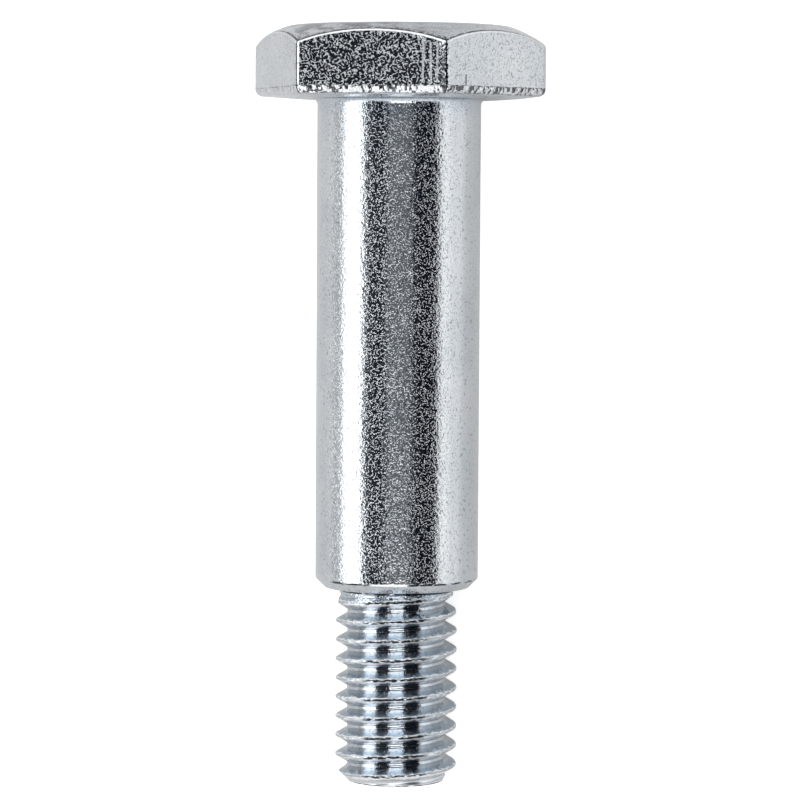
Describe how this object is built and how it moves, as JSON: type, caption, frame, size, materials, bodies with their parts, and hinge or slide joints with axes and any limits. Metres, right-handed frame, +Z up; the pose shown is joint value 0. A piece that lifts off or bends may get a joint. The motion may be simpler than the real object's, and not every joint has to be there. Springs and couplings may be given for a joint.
{
  "type": "shoulder bolt",
  "caption": "Hex-head bolt in bright zinc-plated steel with a plain cylindrical shoulder, a short neck and a smaller right-hand thread.",
  "frame": {"origin": "on the bolt's axis at the bearing face under the head", "axes": "the bolt lies at rest: its axis runs along +Y towards the head and climbs at 5.616 degrees, +Z is up, and one flat of the head faces down"},
  "size_m": [0.0192, 0.0499, 0.0171],
  "materials": {
    "zinc_plate": "bright zinc plate over a finely grained steel surface"
  },
  "bodies": {
    "root": {"shoulder_bolt": "zinc_plate"}
  },
  "joints": []
}
